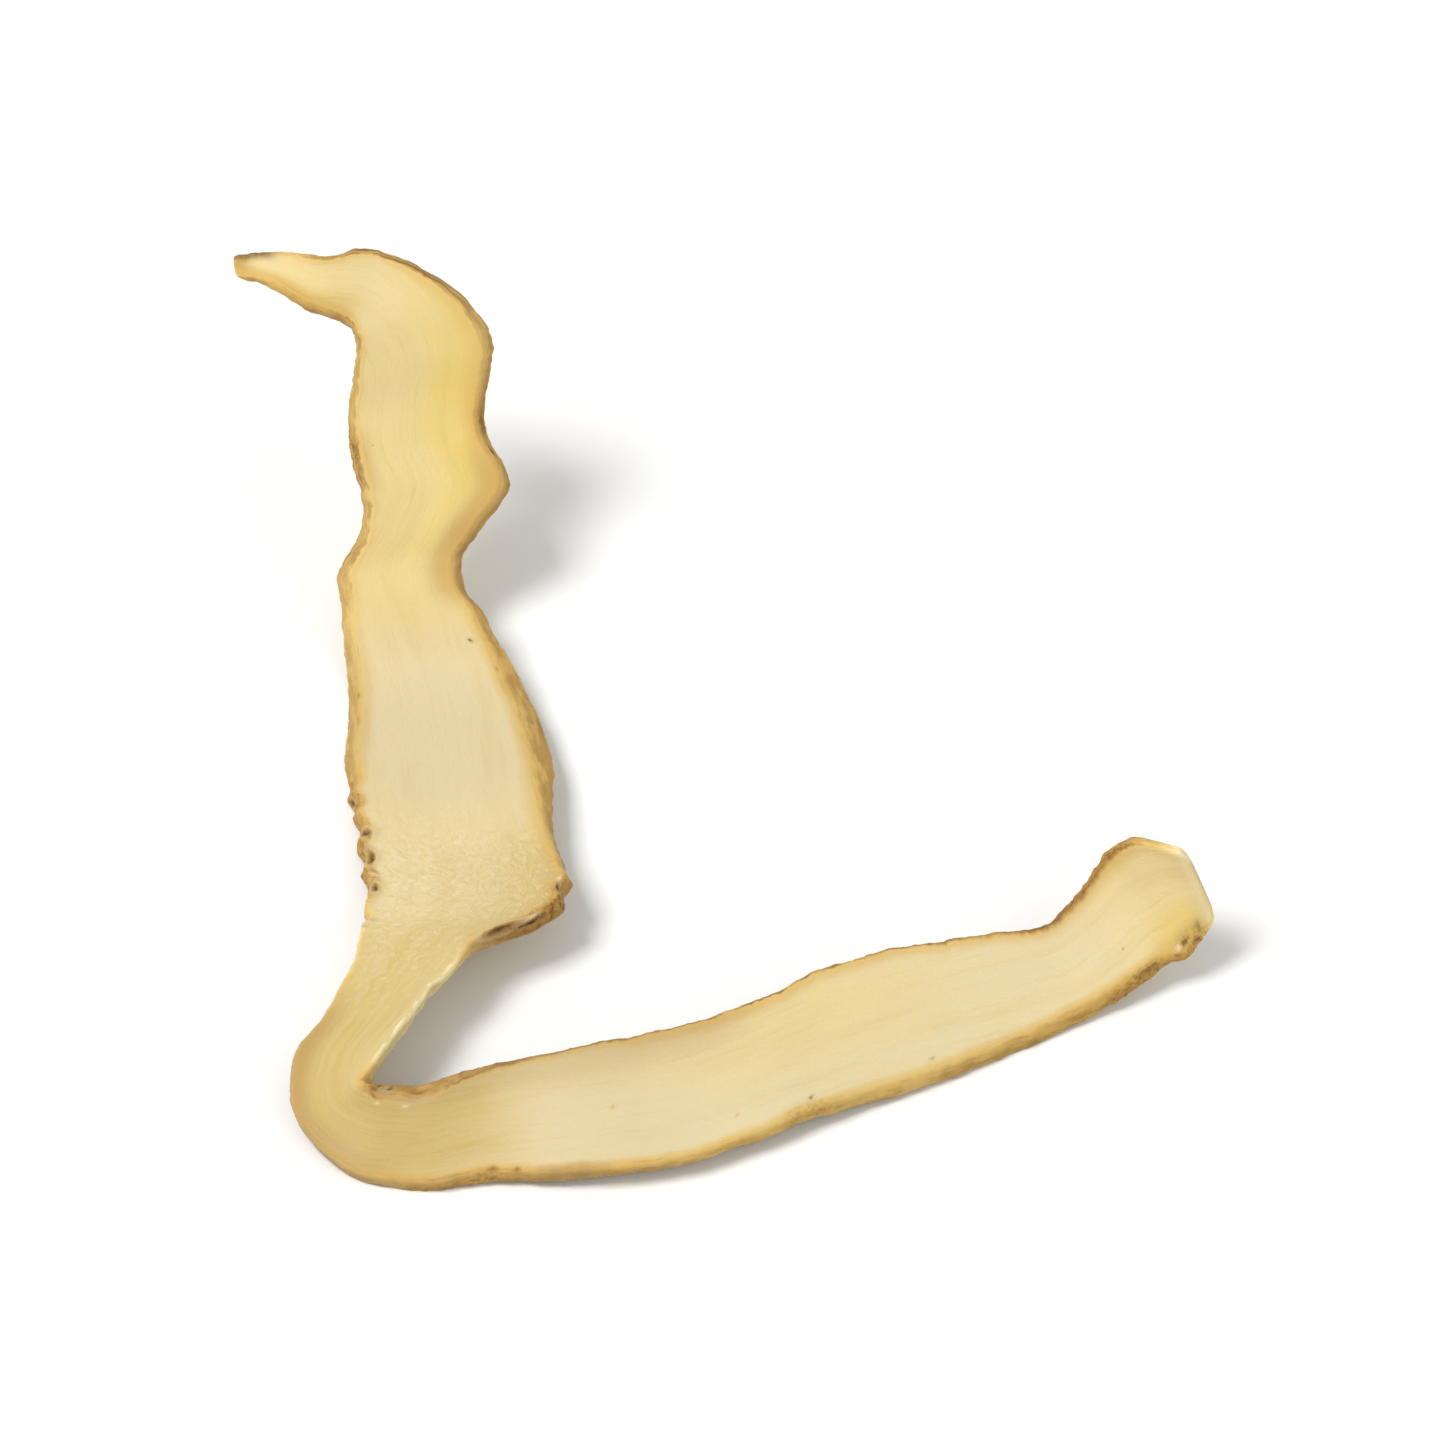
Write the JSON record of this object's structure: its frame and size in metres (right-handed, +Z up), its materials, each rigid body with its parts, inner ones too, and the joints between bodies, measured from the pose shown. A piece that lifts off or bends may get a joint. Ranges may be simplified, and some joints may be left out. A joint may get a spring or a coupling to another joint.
{
  "type": "dried polygonatum rhizome slice",
  "caption": "Thin lengthwise slice of a dried polygonatum rhizome, sharply bent, with a wide node, a curled upper arm ending in a stub, and a flared cut end.",
  "frame": {"origin": "centre of the slice's box, on the surface that the slice lies on", "axes": "+Z up, out of the upper cut face; +Y from the bend towards the curled upper arm and its stub; +X from the bend along the second arm towards the flared end"},
  "size_m": [0.0628, 0.068, 0.0206],
  "materials": {
    "dried_rhizome": "matt cream cut face with a tan skin round its edge"
  },
  "bodies": {
    "root": {"slice": "dried_rhizome"}
  },
  "joints": []
}
